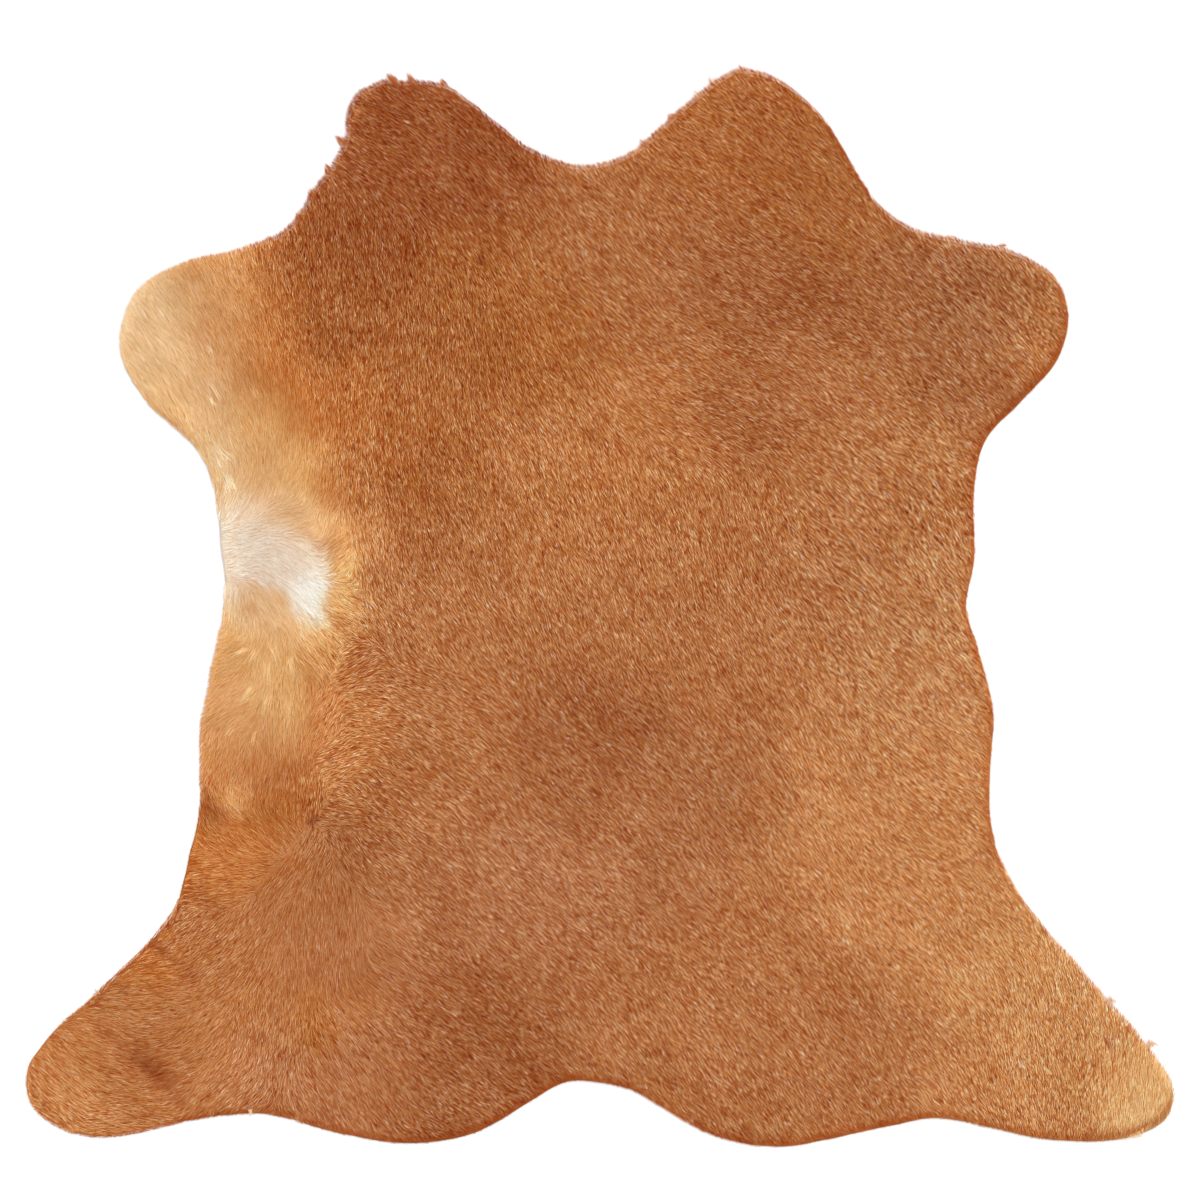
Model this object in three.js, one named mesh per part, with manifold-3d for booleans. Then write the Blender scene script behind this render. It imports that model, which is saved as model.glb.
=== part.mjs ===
// A small cowhide rug lying flat: one tanned skin with its short coat left on.
// Millimetres, +Z up. The underside lies on z = 0, the neck points to +Y, and
// the origin is under the middle of the rug's outline.

import * as THREE from 'three';
import { mergeVertices } from 'three/addons/utils/BufferGeometryUtils.js';
import Module from 'manifold-3d';

// Driving dimensions
const HIDE_WIDTH = 1000; // corner to corner across the hind legs
const SKIN_THICKNESS = 2.2; // tanned skin with the hair roots, at the cut edge
const COAT_HEIGHT = 5; // underside to the top of the lying hair
const HAIR_OVERLAP = 5; // the full coat starts this far inside the cut edge
const RIM_SLOPE = 14; // width over which the coat rises from the edge
const EVEN_EDGE = 0.6; // how ragged the hair is along a clean cut

// Fineness of the faceted model
const EDGE_STEP = 9; // along the cut edge
const RIM_STEP = 14; // along the start of the full coat
const GRID_STEP = 19; // across the top of the coat
const RIM_SEGMENTS = 2;
const MERGE_DISTANCE = 1e-4;

// The outline, clockwise from the left neck lobe, for a hide OUTLINE_WIDTH
// wide. ragged is the depth of the gaps between the locks on that stretch.
const OUTLINE_WIDTH = 1000;
const OUTLINE = [
  { stretch: 'left neck lobe', ragged: 4, points: [[-223, 436], [-203, 456], [-174, 462]] },
  { stretch: 'left of the neck', ragged: 1, points: [[-134, 456], [-98, 429], [-57, 399]] },
  { stretch: 'neck hollow', ragged: 1, points: [[-14, 386], [24, 396]] },
  { stretch: 'right of the neck', ragged: 2, points: [[68, 435], [119, 470]] },
  { stretch: 'right neck lobe', ragged: 0, points: [[155, 460], [195, 424], [222, 380]] },
  { stretch: 'right shoulder', ragged: 0, points: [[243, 350], [274, 330], [316, 320]] },
  { stretch: 'right fore leg', ragged: 0, points: [[359, 311], [395, 288], [408, 255], [399, 215]] },
  { stretch: 'right arm pit', ragged: 0, points: [[369, 180], [335, 143], [326, 101], [326, 38]] },
  { stretch: 'right waist', ragged: 0, points: [[319, -2], [330, -38], [343, -95]] },
  { stretch: 'right flank', ragged: 0, points: [[340, -142], [342, -197], [361, -244]] },
  { stretch: 'right hind leg', ragged: 1, points: [[441, -338], [478, -382], [500, -421]] },
  { stretch: 'right hind corner', ragged: 0, points: [[492, -448], [459, -463], [392, -465]] },
  { stretch: 'right rump', ragged: 0, points: [[294, -446], [247, -454], [152, -471], [97, -460]] },
  { stretch: 'tail hollow', ragged: 0, points: [[26, -421], [-9, -414], [-29, -414]] },
  { stretch: 'left rump', ragged: 0, points: [[-63, -433], [-107, -458], [-162, -468], [-233, -458]] },
  { stretch: 'under the left leg', ragged: 1, points: [[-282, -444], [-334, -444], [-381, -454]] },
  { stretch: 'left hind corner', ragged: 0, points: [[-427, -462], [-469, -455], [-497, -431]] },
  { stretch: 'left hind leg', ragged: 1, points: [[-499, -402], [-481, -373], [-438, -335]] },
  { stretch: 'left flank', ragged: 1, points: [[-372, -262], [-357, -210], [-348, -169], [-350, -111]] },
  { stretch: 'left waist', ragged: 0, points: [[-327, 14], [-331, 54], [-334, 88], [-344, 127]] },
  { stretch: 'left fore leg', ragged: 0, points: [[-396, 180], [-416, 213], [-419, 236], [-405, 275]] },
  { stretch: 'left shoulder', ragged: 1, points: [[-369, 299], [-312, 314], [-276, 330], [-251, 364]] },
  { stretch: 'side of the neck', ragged: 4, points: [[-225, 410]] },
];

// Creases that the skin was folded along, as soft troughs in the coat
const CREASES = [
  { at: 'left hind leg, outer', from: [-436, -362], to: [-366, -430], width: 17, depth: 1.9 },
  { at: 'left hind leg, inner', from: [-392, -280], to: [-342, -336], width: 15, depth: 1.1 },
  { at: 'left flank, upper', from: [-346, -166], to: [-268, -206], width: 20, depth: 1.2 },
  { at: 'left flank, lower', from: [-356, -236], to: [-330, -262], width: 14, depth: 0.9 },
  { at: 'whorl', from: [-250, -186], to: [-244, -184], width: 10, depth: 1.3 },
  { at: 'below the white patch', from: [-322, 12], to: [-258, -16], width: 16, depth: 1 },
  { at: 'between the shoulders', from: [-60, -80], to: [-10, -150], width: 34, depth: 0.8 },
  { at: 'rump, left', from: [-250, -250], to: [-236, -350], width: 24, depth: 0.7 },
  { at: 'right shoulder', from: [150, 260], to: [232, 176], width: 40, depth: 0.6 },
];

// Slow swells of the skin: height, and the length of one wave along x and y
const SWELLS = [
  { height: 0.5, alongX: 410, alongY: 530, start: 0.4 },
  { height: 0.35, alongX: -230, alongY: 290, start: 2.1 },
  { height: 0.25, alongX: 150, alongY: -170, start: 4 },
];

const GOLDEN_SHARE = (Math.sqrt(5) - 1) / 2;
const SCALE = HIDE_WIDTH / OUTLINE_WIDTH;
const HIGHEST = SWELLS.reduce((sum, { height }) => sum + height, COAT_HEIGHT);
const wasm = await Module();
wasm.setup();

// A repeatable number from 0 to 1 for each step along the edge
function scatter(step) {
  const turn = step * GOLDEN_SHARE;
  const wave = Math.sin(turn * turn * Math.PI) + 1;
  return wave / 2;
}

// The smooth outline at an even step, each point with its inward normal
function outlinePoints(step) {
  const rows = OUTLINE.flatMap(({ ragged, points }) => points.map(([x, y]) => ({ x, y, ragged })));
  const marks = rows.map(({ x, y }) => new THREE.Vector3(x * SCALE, y * SCALE, 0));
  const curve = new THREE.CatmullRomCurve3(marks, true, 'centripetal');
  const samples = [];
  for (let row = 0; row < marks.length; row += 1) {
    const next = (row + 1) % marks.length;
    const count = Math.max(1, Math.round(marks[row].distanceTo(marks[next]) / step));
    for (let part = 0; part < count; part += 1) {
      const share = part / count;
      const at = (row + share) / marks.length;
      const along = curve.getTangent(at);
      samples.push({
        place: curve.getPoint(at),
        inward: new THREE.Vector3(along.y, -along.x, 0),
        ragged: THREE.MathUtils.lerp(rows[row].ragged, rows[next].ragged, share),
      });
    }
  }
  return samples;
}

// The outline drawn in by a depth that may differ from point to point
function outlineShape(step, depthAt) {
  const points = outlinePoints(step).map((sample, index) => {
    const { x, y } = sample.place.clone().addScaledVector(sample.inward, depthAt(sample, index));
    return new THREE.Vector2(x, y);
  });
  return new THREE.Shape(points);
}

// Height of the coat's top over the underside
function coatTop(x, y) {
  let height = COAT_HEIGHT;
  for (const swell of SWELLS) {
    const turn = x / (swell.alongX * SCALE) + y / (swell.alongY * SCALE);
    height += swell.height * Math.sin(turn * Math.PI * 2 + swell.start);
  }
  const spot = new THREE.Vector3(x, y, 0);
  for (const crease of CREASES) {
    const start = new THREE.Vector3(...crease.from, 0).multiplyScalar(SCALE);
    const end = new THREE.Vector3(...crease.to, 0).multiplyScalar(SCALE);
    const nearest = new THREE.Line3(start, end).closestPointToPoint(spot, true, new THREE.Vector3());
    const away = nearest.distanceTo(spot) / (crease.width * SCALE);
    height -= crease.depth * Math.exp(-away * away);
  }
  return height;
}

// A closed geometry as a solid that can be cut and joined
function solidOf(geometry) {
  geometry.deleteAttribute('normal');
  geometry.deleteAttribute('uv');
  const merged = mergeVertices(geometry, MERGE_DISTANCE);
  return new wasm.Manifold(new wasm.Mesh({
    numProp: 3,
    vertProperties: merged.attributes.position.array,
    triVerts: Uint32Array.from(merged.index.array),
  }));
}

// A solid as a geometry for a mesh
function geometryOf(solid) {
  const mesh = solid.getMesh();
  const geometry = new THREE.BufferGeometry();
  geometry.setAttribute('position', new THREE.BufferAttribute(mesh.vertProperties, 3));
  geometry.setIndex(new THREE.BufferAttribute(mesh.triVerts, 1));
  return geometry;
}

// Moves a geometry so that the middle of its underside is the origin
function centreUnderside(geometry) {
  geometry.computeBoundingBox();
  const middle = geometry.boundingBox.getCenter(new THREE.Vector3());
  geometry.translate(-middle.x, -middle.y, -geometry.boundingBox.min.z);
}

// The thin skin out to the tips of the edge hair, ragged where locks stand out
function skinSolid() {
  const shape = outlineShape(EDGE_STEP, ({ ragged }, index) => (
    (EVEN_EDGE + ragged) * scatter(index + 1)
  ));
  return solidOf(new THREE.ExtrudeGeometry(shape, { depth: SKIN_THICKNESS, bevelEnabled: false }));
}

// The full coat inside the edge, with a sloped rim, before its top is shaped
function coatBlank() {
  const rise = HIGHEST - SKIN_THICKNESS;
  const buried = SKIN_THICKNESS / 2;
  const shape = outlineShape(RIM_STEP, () => HAIR_OVERLAP);
  const blank = new THREE.ExtrudeGeometry(shape, {
    depth: buried,
    bevelThickness: rise,
    bevelSize: RIM_SLOPE,
    bevelOffset: -RIM_SLOPE,
    bevelSegments: RIM_SEGMENTS,
  });
  blank.translate(0, 0, SKIN_THICKNESS - buried);
  return solidOf(blank);
}

// A slab whose top has the swells and creases
function reliefSlab() {
  const side = OUTLINE_WIDTH * SCALE + GRID_STEP;
  const steps = Math.round(side / GRID_STEP);
  const slab = new THREE.BoxGeometry(side, side, COAT_HEIGHT, steps, steps, 1);
  const base = SKIN_THICKNESS / 2;
  const place = slab.attributes.position;
  for (let index = 0; index < place.count; index += 1) {
    const top = place.getZ(index) > 0;
    place.setZ(index, top ? coatTop(place.getX(index), place.getY(index)) : base);
  }
  return solidOf(slab);
}

function hideMaterial() {
  const material = new THREE.MeshStandardMaterial({ color: 0xb06a35, roughness: 0.85, metalness: 0 });
  material.name = 'coat';
  return material;
}

function hideMesh() {
  const solid = skinSolid().add(coatBlank().intersect(reliefSlab()));
  const geometry = geometryOf(solid);
  centreUnderside(geometry);
  geometry.computeVertexNormals();
  const mesh = new THREE.Mesh(geometry, hideMaterial());
  mesh.name = 'hide';
  return mesh;
}

const rug = new THREE.Group();
rug.add(hideMesh());

export default rug;
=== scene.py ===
"""A small cowhide rug lying flat: the tanned skin, its short lying coat and the stage.

The tables are in millimetres in the rug's frame: x to the hide's right side, y towards the
neck, z up. Directions are in degrees, anticlockwise from x. Meshes are in metres.
"""

import math
from collections import namedtuple

import bmesh
import bpy
import numpy as np
from bpy.props import FloatProperty, FloatVectorProperty, IntProperty, PointerProperty
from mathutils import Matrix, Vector


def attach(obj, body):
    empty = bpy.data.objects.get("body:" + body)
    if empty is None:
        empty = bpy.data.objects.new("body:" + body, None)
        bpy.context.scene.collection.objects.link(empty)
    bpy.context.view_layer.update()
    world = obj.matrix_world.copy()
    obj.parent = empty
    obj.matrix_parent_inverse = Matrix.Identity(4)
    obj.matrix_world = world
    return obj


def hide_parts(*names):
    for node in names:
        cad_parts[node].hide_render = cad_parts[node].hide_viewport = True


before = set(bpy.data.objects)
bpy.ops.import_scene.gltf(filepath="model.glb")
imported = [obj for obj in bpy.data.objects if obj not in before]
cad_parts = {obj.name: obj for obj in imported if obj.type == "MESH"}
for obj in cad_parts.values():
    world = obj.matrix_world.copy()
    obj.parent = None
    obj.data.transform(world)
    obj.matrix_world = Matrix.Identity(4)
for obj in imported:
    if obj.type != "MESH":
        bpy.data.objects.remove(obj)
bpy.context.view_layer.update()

bl_info = {
    "name": "Cowhide Rug",
    "version": (1, 0, 0),
    "blender": (4, 5, 0),
    "location": "3D View > Sidebar > Rug",
    "description": "Makes a small cowhide rug with its skin, its lying coat and a stage",
    "category": "Object",
}

MM = 0.001
COLOUR_LAYER = "coat_colour"
NOISE_CELLS = 512  # along a side of the noise's grid, which repeats beyond it


def named_rows(name, columns, rows):
    """Rows of numbers and names, whose columns can be read by name."""
    row = namedtuple(name, columns)
    return [row(*values) for values in rows]


# The coat's own colours, as red, green and blue from 0 to 255
PALETTE = {
    "chestnut": (157, 85, 37),
    "russet": (169, 101, 48),
    "umber": (164, 98, 53),
    "rose brown": (180, 118, 78),
    "amber": (171, 101, 44),
    "amber brown": (175, 106, 53),
    "amber gold": (187, 116, 59),
    "tawny": (171, 108, 64),
    "caramel": (179, 115, 68),
    "sand": (188, 123, 72),
    "light caramel": (197, 136, 87),
    "honey brown": (202, 145, 95),
    "honey tan": (208, 153, 101),
    "honey": (216, 168, 115),
    "biscuit": (215, 173, 127),
    "cream": (223, 187, 146),
    "warm cream": (231, 191, 147),
    "pale cream": (233, 213, 193),
    "milk": (236, 219, 203),
    "white": (242, 234, 228),
    # the deep colour that the painted shade in creases and along the edges is drawn towards
    "rust": (142, 68, 24),
}

# How far they swing in lighter and darker locks, at the tips and roots, and in blotches
# lighter locks: their own tone, made greyer as a painted sheen
LIGHTER_AND_SHEEN = np.array((15, 25, 33))
# darker locks: their own tone, made deeper and redder as painted shade between the locks
DARKER_AND_SHADE = np.array((24, 41, 43))
# painted highlight on the tips, paler and greyer
TIP_HIGHLIGHT = np.array((6, 12, 14))
# painted shade at the roots, which lie under the other locks, and on the skin between them
ROOT_SHADE = np.array((13, 22, 24))
# painted shade on the tips near the cut edge, where the coat rounds over it
EDGE_TIP_SHADE = np.array((2, 16, 22))
# blotches: partly the coat's own tone, partly a painted sheen, greyer where lighter
BLOTCH_AND_SHEEN = np.array((6, 7, 8))
SMOOTH_SWING = np.array((0.6, 0.35, 0.1))  # how much less in smooth hair

# The colour where no area is near, and how strongly it holds
GROUND = "caramel"
GROUND_WEIGHT = 0.12

# Soft areas of the coat: the middle, the half width and half height, and how strongly the
# colour holds against its neighbours
AREAS = named_rows("Area", "place x y wide tall colour weight", (
    ("left neck lobe", -180, 420, 75, 65, "chestnut", 3),
    ("left side of the neck", -210, 345, 52, 70, "chestnut", 3),
    ("left shoulder", -235, 275, 44, 52, "russet", 2),
    ("left of the neck", -113, 380, 52, 48, "chestnut", 2),
    ("neck hollow", -10, 328, 60, 52, "caramel", 1.5),
    ("upper spine", -95, 300, 52, 35, "amber", 1.6),
    ("right neck lobe", 122, 415, 60, 60, "amber brown", 1.6),
    ("right side of the neck", 196, 354, 44, 60, "russet", 1.6),
    ("right shoulder blade", 144, 267, 65, 44, "umber", 2),
    ("right of the spine, high", 78, 240, 44, 44, "caramel", 1),
    ("right ribs, high", 200, 202, 52, 35, "caramel", 1.4),
    ("right fore leg", 314, 276, 52, 52, "tawny", 1.6),
    ("right fore leg tip", 383, 258, 35, 44, "sand", 1.5),
    ("right arm pit", 331, 180, 44, 26, "tawny", 1),
    ("right ribs", 280, 93, 60, 70, "sand", 2),
    ("right waist", 305, 5, 35, 60, "light caramel", 1.6),
    ("spine, high", 44, 136, 96, 78, "sand", 2),
    ("spine", 87, 5, 96, 70, "caramel", 1.4),
    ("loin, dark", -9, -112, 44, 39, "umber", 2.4),
    ("loin", 35, -160, 60, 44, "tawny", 1.8),
    ("right flank", 265, -120, 62, 90, "light caramel", 2.6),
    ("right hip", 287, -238, 70, 60, "light caramel", 2.4),
    ("right hind leg root", 348, -299, 60, 52, "honey brown", 2.4),
    ("right hind leg", 418, -386, 52, 52, "honey brown", 2.6),
    ("right hind leg, low", 348, -421, 52, 35, "light caramel", 1.4),
    ("right hind corner", 486, -432, 30, 35, "biscuit", 4.5),
    ("right rump", 174, -386, 78, 60, "caramel", 1.4),
    ("tail hollow", 44, -343, 60, 52, "caramel", 1.2),
    ("left rump, dark", -105, -386, 60, 52, "umber", 2.2),
    ("left rump, low", -148, -423, 52, 35, "umber", 1.8),
    ("left rump, edge", -235, -412, 52, 35, "rose brown", 2),
    ("under the whorl", -235, -256, 44, 44, "tawny", 1.6),
    ("thigh", -222, -312, 44, 39, "rose brown", 3),
    ("left hind leg root", -322, -330, 44, 39, "caramel", 2),
    ("thigh, dark", -250, -356, 17, 24, "amber", 2.4),
    ("thigh, dark right", -205, -342, 16, 12, "amber brown", 2),
    ("left hind leg", -418, -386, 35, 44, "caramel", 1.2),
    ("left knee", -385, -318, 24, 20, "amber gold", 1.4),
    ("left hind corner", -472, -419, 35, 39, "light caramel", 1.2),
    ("patch, bright", -255, 8, 11, 19, "white", 14),
    ("patch, bright top", -260, 40, 12, 13, "pale cream", 8),
    ("patch, left", -324, 56, 18, 22, "milk", 7),
    ("patch, low middle", -282, 34, 15, 12, "milk", 8),
    ("patch, middle", -300, 57, 22, 19, "milk", 12),
    ("patch, tail", -252, -10, 9, 8, "pale cream", 6),
    ("patch, upper left", -312, 84, 24, 17, "pale cream", 3),
    ("patch, upper middle", -292, 104, 26, 14, "warm cream", 3),
    ("patch, top", -265, 80, 26, 15, "warm cream", 9),
    ("above the patch", -272, 118, 32, 20, "honey", 6),
    ("left arm pit", -336, 128, 20, 26, "cream", 7),
    ("above the fore leg", -300, 158, 22, 22, "honey", 4),
    ("right of the patch, high", -222, 110, 20, 24, "sand", 8),
    ("right of the patch", -204, 62, 18, 22, "light caramel", 5),
    ("right of the patch, inner", -227, 66, 12, 14, "honey tan", 7),
    ("ridge", -217, 20, 12, 22, "honey", 7),
    ("ridge, low", -208, -12, 13, 12, "honey brown", 6),
    ("patch foot, left", -326, 12, 13, 12, "pale cream", 2),
    ("patch foot", -304, -4, 17, 13, "cream", 7),
    ("patch foot, right", -285, 4, 13, 9, "warm cream", 8),
    ("swirl under the patch", -306, -1, 6, 5, "honey brown", 14),
    ("below the patch", -272, -21, 22, 11, "warm cream", 12),
    ("swirl, low", -280, -25, 6, 5, "honey tan", 14),
    ("fan, top", -305, -40, 26, 18, "honey", 6),
    ("fan, upper right", -244, -42, 15, 14, "honey tan", 6),
    ("fan, middle", -283, -66, 22, 30, "honey", 6),
    ("fan, left", -330, -70, 18, 26, "honey tan", 5),
    ("fan, right", -230, -92, 24, 36, "sand", 4),
    ("fan, low", -318, -116, 26, 18, "honey brown", 4),
    ("fan, foot", -300, -144, 34, 14, "sand", 4),
    ("flank, dark", -342, -178, 14, 10, "russet", 5),
    ("flank, lens", -313, -166, 13, 10, "honey brown", 7),
    ("flank, inner", -280, -172, 22, 12, "amber", 3),
    ("flank, low", -328, -212, 34, 24, "amber gold", 2),
    ("left fore leg tip", -397, 234, 46, 57, "cream", 7),
    ("left fore leg, low", -370, 184, 38, 36, "warm cream", 6),
    ("left fore leg, upper", -360, 292, 28, 20, "honey brown", 3),
    ("left fore leg", -329, 250, 30, 49, "honey brown", 5),
    ("left fore leg root", -286, 236, 28, 56, "amber gold", 2.6),
    ("left ribs, high", -231, 162, 30, 38, "amber gold", 4),
    ("left ribs", -174, 136, 52, 70, "amber brown", 1.6),
    ("left ribs, low", -157, 6, 44, 60, "caramel", 1.6),
    ("rump, high", -52, -256, 78, 52, "rose brown", 1.2),
    ("spine edge, high", -148, 241, 44, 44, "russet", 2.2),
    ("spine, dark", -52, 235, 45, 40, "amber", 2),
    ("right ribs, dark", 122, 165, 40, 35, "umber", 2.5),
))

# The way the hair lies: where a stroke is, which way its tips point and how far it is felt
STROKES = named_rows("Stroke", "place x y towards reach", (
    ("left neck lobe", -179, 428, 146, 52),
    ("left of the neck", -126, 367, 134, 44),
    ("neck hollow", 0, 358, 133, 48),
    ("right neck lobe", 126, 424, 142, 61),
    ("right side of the neck", 209, 354, 141, 52),
    ("left shoulder", -257, 319, 97, 33),
    ("below the left neck lobe", -187, 293, 101, 37),
    ("upper spine", -70, 302, 123, 44),
    ("between the shoulders", 35, 293, 137, 52),
    ("right shoulder blade", 165, 250, 152, 61),
    ("right fore leg", 292, 293, 139, 52),
    ("right fore leg tip", 375, 250, 133, 44),
    ("left fore leg tip", -392, 241, 128, 39),
    ("left fore leg", -327, 241, 117, 33),
    ("left fore leg root", -261, 232, 101, 37),
    ("left ribs, high", -183, 197, 92, 44),
    ("left of the spine, high", -113, 215, 98, 37),
    ("spine, high", -35, 197, 122, 44),
    ("right of the spine, high", 87, 189, 151, 52),
    ("right ribs, high", 226, 171, 142, 52),
    ("right arm pit", 314, 162, 138, 39),
    ("left arm pit", -327, 145, 112, 23),
    ("above the white patch", -261, 132, 88, 26),
    ("left ribs", -183, 67, 101, 30),
    ("left of the spine", -113, 93, 110, 44),
    ("spine", 17, 75, 114, 61),
    ("right of the spine", 122, 49, 110, 44),
    ("right ribs", 218, 41, 136, 44),
    ("right waist", 292, 41, 126, 44),
    ("left ribs, low", -131, -12, 122, 33),
    ("spine, low", 0, -29, 117, 52),
    ("right ribs, low", 157, -47, 123, 61),
    ("right flank, high", 287, -64, 134, 52),
    ("left loin", -131, -99, 144, 33),
    ("loin", 0, -142, 134, 61),
    ("right loin", 174, -169, 127, 70),
    ("right hip", 314, -186, 139, 52),
    ("beside the whorl", -157, -169, 143, 30),
    ("rump, high", -35, -256, 136, 70),
    ("right rump, high", 157, -299, 130, 70),
    ("right hind leg root", 314, -299, 128, 44),
    ("right hind leg", 392, -360, 106, 37),
    ("right hind corner", 470, -417, 90, 33),
    ("right rump", 192, -412, 127, 61),
    ("tail hollow", 44, -378, 128, 52),
    ("left rump", -122, -386, 141, 52),
    ("left rump, low", -200, -412, 122, 33),
    ("under the whorl", -253, -299, 92, 26),
    ("left of the rump", -292, -378, 80, 24),
    ("left thigh", -300, -299, 62, 23),
    ("left thigh, outer", -335, -308, 38, 21),
    ("left hind leg root", -327, -417, 44, 19),
    ("left knee", -353, -369, 42, 17),
    ("left hind leg", -392, -343, 6, 24),
    ("left hind leg, low", -379, -397, 20, 17),
    ("left hind leg, middle", -429, -382, -18, 23),
    ("left hind corner", -475, -408, -38, 23),
    ("left hind leg, underside", -422, -443, 0, 17),
    ("patch, upper left", -314, 93, 66, 11),
    ("patch, left", -309, 54, 8, 11),
    ("patch, upper", -276, 78, 14, 10),
    ("patch, top", -270, 106, 62, 11),
    ("patch, top right", -237, 86, 68, 11),
    ("patch, right", -230, 44, 34, 10),
    ("patch, middle", -274, 39, -38, 13),
    ("patch, lower right", -235, 3, -35, 12),
    ("patch, low", -286, 6, -55, 11),
    ("patch, lower left", -314, -5, -92, 10),
    ("fan, left", -322, -38, -158, 13),
    ("fan, low left", -318, -81, -142, 17),
    ("fan, middle", -286, -48, -98, 13),
    ("fan, right", -253, -38, -52, 11),
    ("fan, foot", -270, -92, -90, 17),
    ("flank edge", -335, -127, -108, 17),
    ("fan, low right", -240, -95, -122, 12),
    ("ridge", -204, -54, -155, 11),
    ("ridge foot", -218, -127, -158, 13),
    ("right of the ridge", -187, -99, 170, 17),
    ("right of the fan", -161, -73, 155, 17),
    ("right of the patch", -195, 44, 106, 13),
    ("right of the patch, low", -185, -12, 127, 11),
    ("above the whorl", -261, -155, -93, 12),
    ("left above the whorl", -294, -155, -96, 12),
    ("left of the whorl", -294, -189, -48, 12),
    ("flank, inner", -318, -199, -32, 14),
    ("flank, outer", -337, -169, -62, 10),
    ("left below the whorl", -305, -223, -8, 10),
    ("flank, low", -333, -242, 4, 14),
    ("below the whorl", -251, -225, 66, 10),
    ("thigh, high", -279, -249, 54, 13),
    ("right of the whorl", -216, -182, 168, 10),
    ("right below the whorl", -218, -212, 126, 10),
))
FAR_SHARE = 0.004  # how much a far stroke still counts

# Hair falls outwards over the edges that face this way, this strongly and this far in
OPEN_SIDE = (-0.3, 0.95)
EDGE_FALL = 0.9
EDGE_FALL_WIDTH = 3.5

# Edges that face this way get painted shade in the hair's deep rust colour, where the coat
# rounds away over them
SHADED_EDGE_SIDE = (0.45, -0.9)

# Soft areas where the hair lies smoother and more even, or below zero less so
CALMS = named_rows("Calm", "place x y wide tall calm", (
    ("white patch", -289, 47, 68, 79, 0.93),
    ("fan", -300, -75, 65, 75, 0.8),
    ("above the patch", -305, 150, 65, 65, 0.75),
    ("left fore leg", -380, 240, 90, 90, 0.8),
    ("flank", -310, -200, 60, 75, 0.4),
    ("thigh", -240, -300, 80, 75, 0.45),
    ("left hind leg", -400, -380, 110, 80, 0.35),
    ("left rump", -215, -420, 60, 40, 0.25),
    ("right hind corner", 486, -432, 45, 45, 0.5),
    ("right ribs", 265, 40, 100, 170, -0.25),
    ("right legs", 350, 270, 70, 60, -0.2),
))

# Creases that the hide was folded along: a soft trough with a narrower core
CREASES = named_rows("Crease", "place x0 y0 x1 y1 width depth", (
    ("left hind leg, outer", -436, -362, -366, -430, 17, 1.9),
    ("left hind leg, inner", -392, -280, -342, -336, 15, 1.1),
    ("left flank, upper", -346, -166, -268, -206, 20, 1.2),
    ("left flank, lower", -356, -236, -330, -262, 14, 0.9),
    ("whorl", -250, -186, -244, -184, 10, 1.3),
    ("below the white patch", -322, 12, -258, -16, 16, 1),
    ("between the shoulders", -60, -80, -10, -150, 34, 0.8),
    ("rump, left", -250, -250, -236, -350, 24, 0.7),
    ("right shoulder", 150, 260, 232, 176, 40, 0.6),
))

# Painted shade in the creases, the folds and the whorl's middle, where the hair takes its deep
# rust colour
CREASE_SHADES = named_rows("CreaseShade", "place x0 y0 x1 y1 width strength", (
    ("left hind leg, deep", -404, -391, -379, -413, 12, 0.6),
    ("left hind leg, core", -396, -399, -385, -409, 7, 0.95),
    ("left hind leg, start", -431, -369, -409, -389, 4.5, 0.35),
    ("left hind leg, end", -378, -416, -364, -431, 5, 0.4),
    ("knee", -389, -289, -379, -301, 5, 0.7),
    ("knee, end", -379, -301, -355, -323, 6, 0.4),
    ("knee, inner", -352, -247, -331, -265, 7, 0.3),
    ("flank, dark", -345, -174, -330, -180, 7, 0.35),
    ("flank, fold", -297, -157, -252, -134, 9, 0.25),
    ("whorl", -251, -187, -248, -184, 4.5, 1),
    ("below the ridge", -205, -50, -180, -36, 12, 0.2),
    ("right hind leg", 442, -377, 444, -382, 3, 0.6),
))

# Slow swells of the skin: height, length of one wave along x and along y, and its start
SWELLS = named_rows("Swell", "height along_x along_y start", (
    (0.5, 410, 530, 0.4),
    (0.35, -230, 290, 2.1),
    (0.25, 150, -170, 4),
))

# Pale flecks in the brown coat: where they lie, which way they point and how long they are
FLECKS = named_rows("Fleck", "place x y towards length", (
    ("fleck by the thigh", -305, -255, 60, 2),
    ("fleck, left of the middle", -39, 54, 140, 3),
    ("fleck, middle", 59, -15, 140, 3),
    ("fleck, loin high", -34, -91, 140, 3),
    ("fleck, loin", -28, -114, 140, 2),
    ("fleck, loin right", -2, -122, 140, 2),
    ("fleck, loin low", -42, -153, 140, 3),
    ("fleck, right ribs", 170, 48, 140, 3),
    ("fleck, right fore leg", 324, 241, 140, 3),
    ("fleck, spine high", 15, 190, 140, 3),
))

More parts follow.
